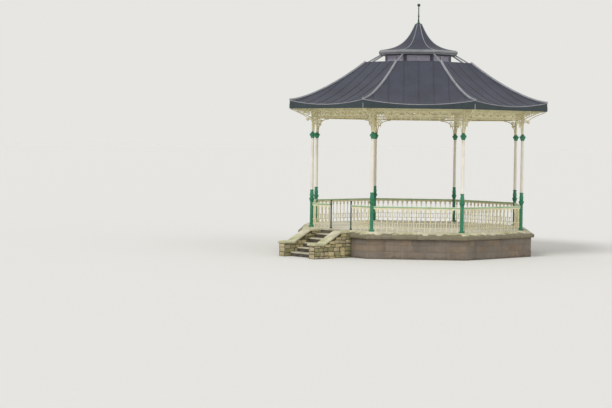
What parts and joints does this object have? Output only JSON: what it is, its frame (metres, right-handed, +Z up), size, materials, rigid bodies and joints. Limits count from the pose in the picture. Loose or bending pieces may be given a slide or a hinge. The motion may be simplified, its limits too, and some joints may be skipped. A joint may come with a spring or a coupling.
{
  "type": "octagonal park bandstand",
  "caption": "Octagonal open bandstand on a stone plinth with a stair, slender iron columns, pierced friezes, railings and a concave two-stage roof with a lantern and finial.",
  "frame": {"origin": "on the axis of the octagon at ground level, the underside of the plinth", "axes": "+Z up; -Y towards the stair, so +Y is the back; the building is mirror-symmetric about X = 0"},
  "size_m": [9.497, 10.8133, 9.42],
  "materials": {
    "masonry": "coursed grey-brown rubble, weathered",
    "coping_stone": "pale dressed stone with lichen",
    "floor_stone": "worn paving",
    "cream_iron": "cream gloss paint, some rust at the joints",
    "green_iron": "green gloss paint",
    "cream_timber": "painted boards",
    "roof_metal": "dull slate-blue sheet metal",
    "lamp_glass": "opal glass"
  },
  "bodies": {
    "root": {"ceiling": "cream_timber", "column_1": "cream_iron", "column_2": "cream_iron", "column_3": "cream_iron", "column_4": "cream_iron", "column_5": "cream_iron", "column_6": "cream_iron", "column_7": "cream_iron", "column_8": "cream_iron", "coping": "coping_stone", "eave_brackets": "cream_iron", "entrance_posts": "green_iron", "entrance_railings": "cream_iron", "fascia": "roof_metal", "finial": "roof_metal", "frieze_1": "cream_iron", "frieze_2": "cream_iron", "frieze_3": "cream_iron", "frieze_4": "cream_iron", "frieze_5": "cream_iron", "frieze_6": "cream_iron", "frieze_7": "cream_iron", "frieze_8": "cream_iron", "hip_rolls": "roof_metal", "lamps": "lamp_glass", "lantern_base": "roof_metal", "lantern_cornice": "roof_metal", "lantern_drum": "cream_timber", "lantern_struts": "roof_metal", "pier_caps": "coping_stone", "platform_floor": "floor_stone", "plinth": "masonry", "railing_1": "cream_iron", "railing_2": "cream_iron", "railing_3": "cream_iron", "railing_4": "cream_iron", "railing_5": "cream_iron", "railing_6": "cream_iron", "railing_7": "cream_iron", "ring_beam": "cream_timber", "roof_panel_1": "roof_metal", "roof_panel_2": "roof_metal", "roof_panel_3": "roof_metal", "roof_panel_4": "roof_metal", "roof_panel_5": "roof_metal", "roof_panel_6": "roof_metal", "roof_panel_7": "roof_metal", "roof_panel_8": "roof_metal", "spandrels": "cream_iron", "spire": "roof_metal", "stair_coping_left": "coping_stone", "stair_coping_right": "coping_stone", "stair_core": "masonry", "stair_treads": "coping_stone", "stair_wall_left": "masonry", "stair_wall_right": "masonry", "threshold": "coping_stone"}
  },
  "joints": []
}
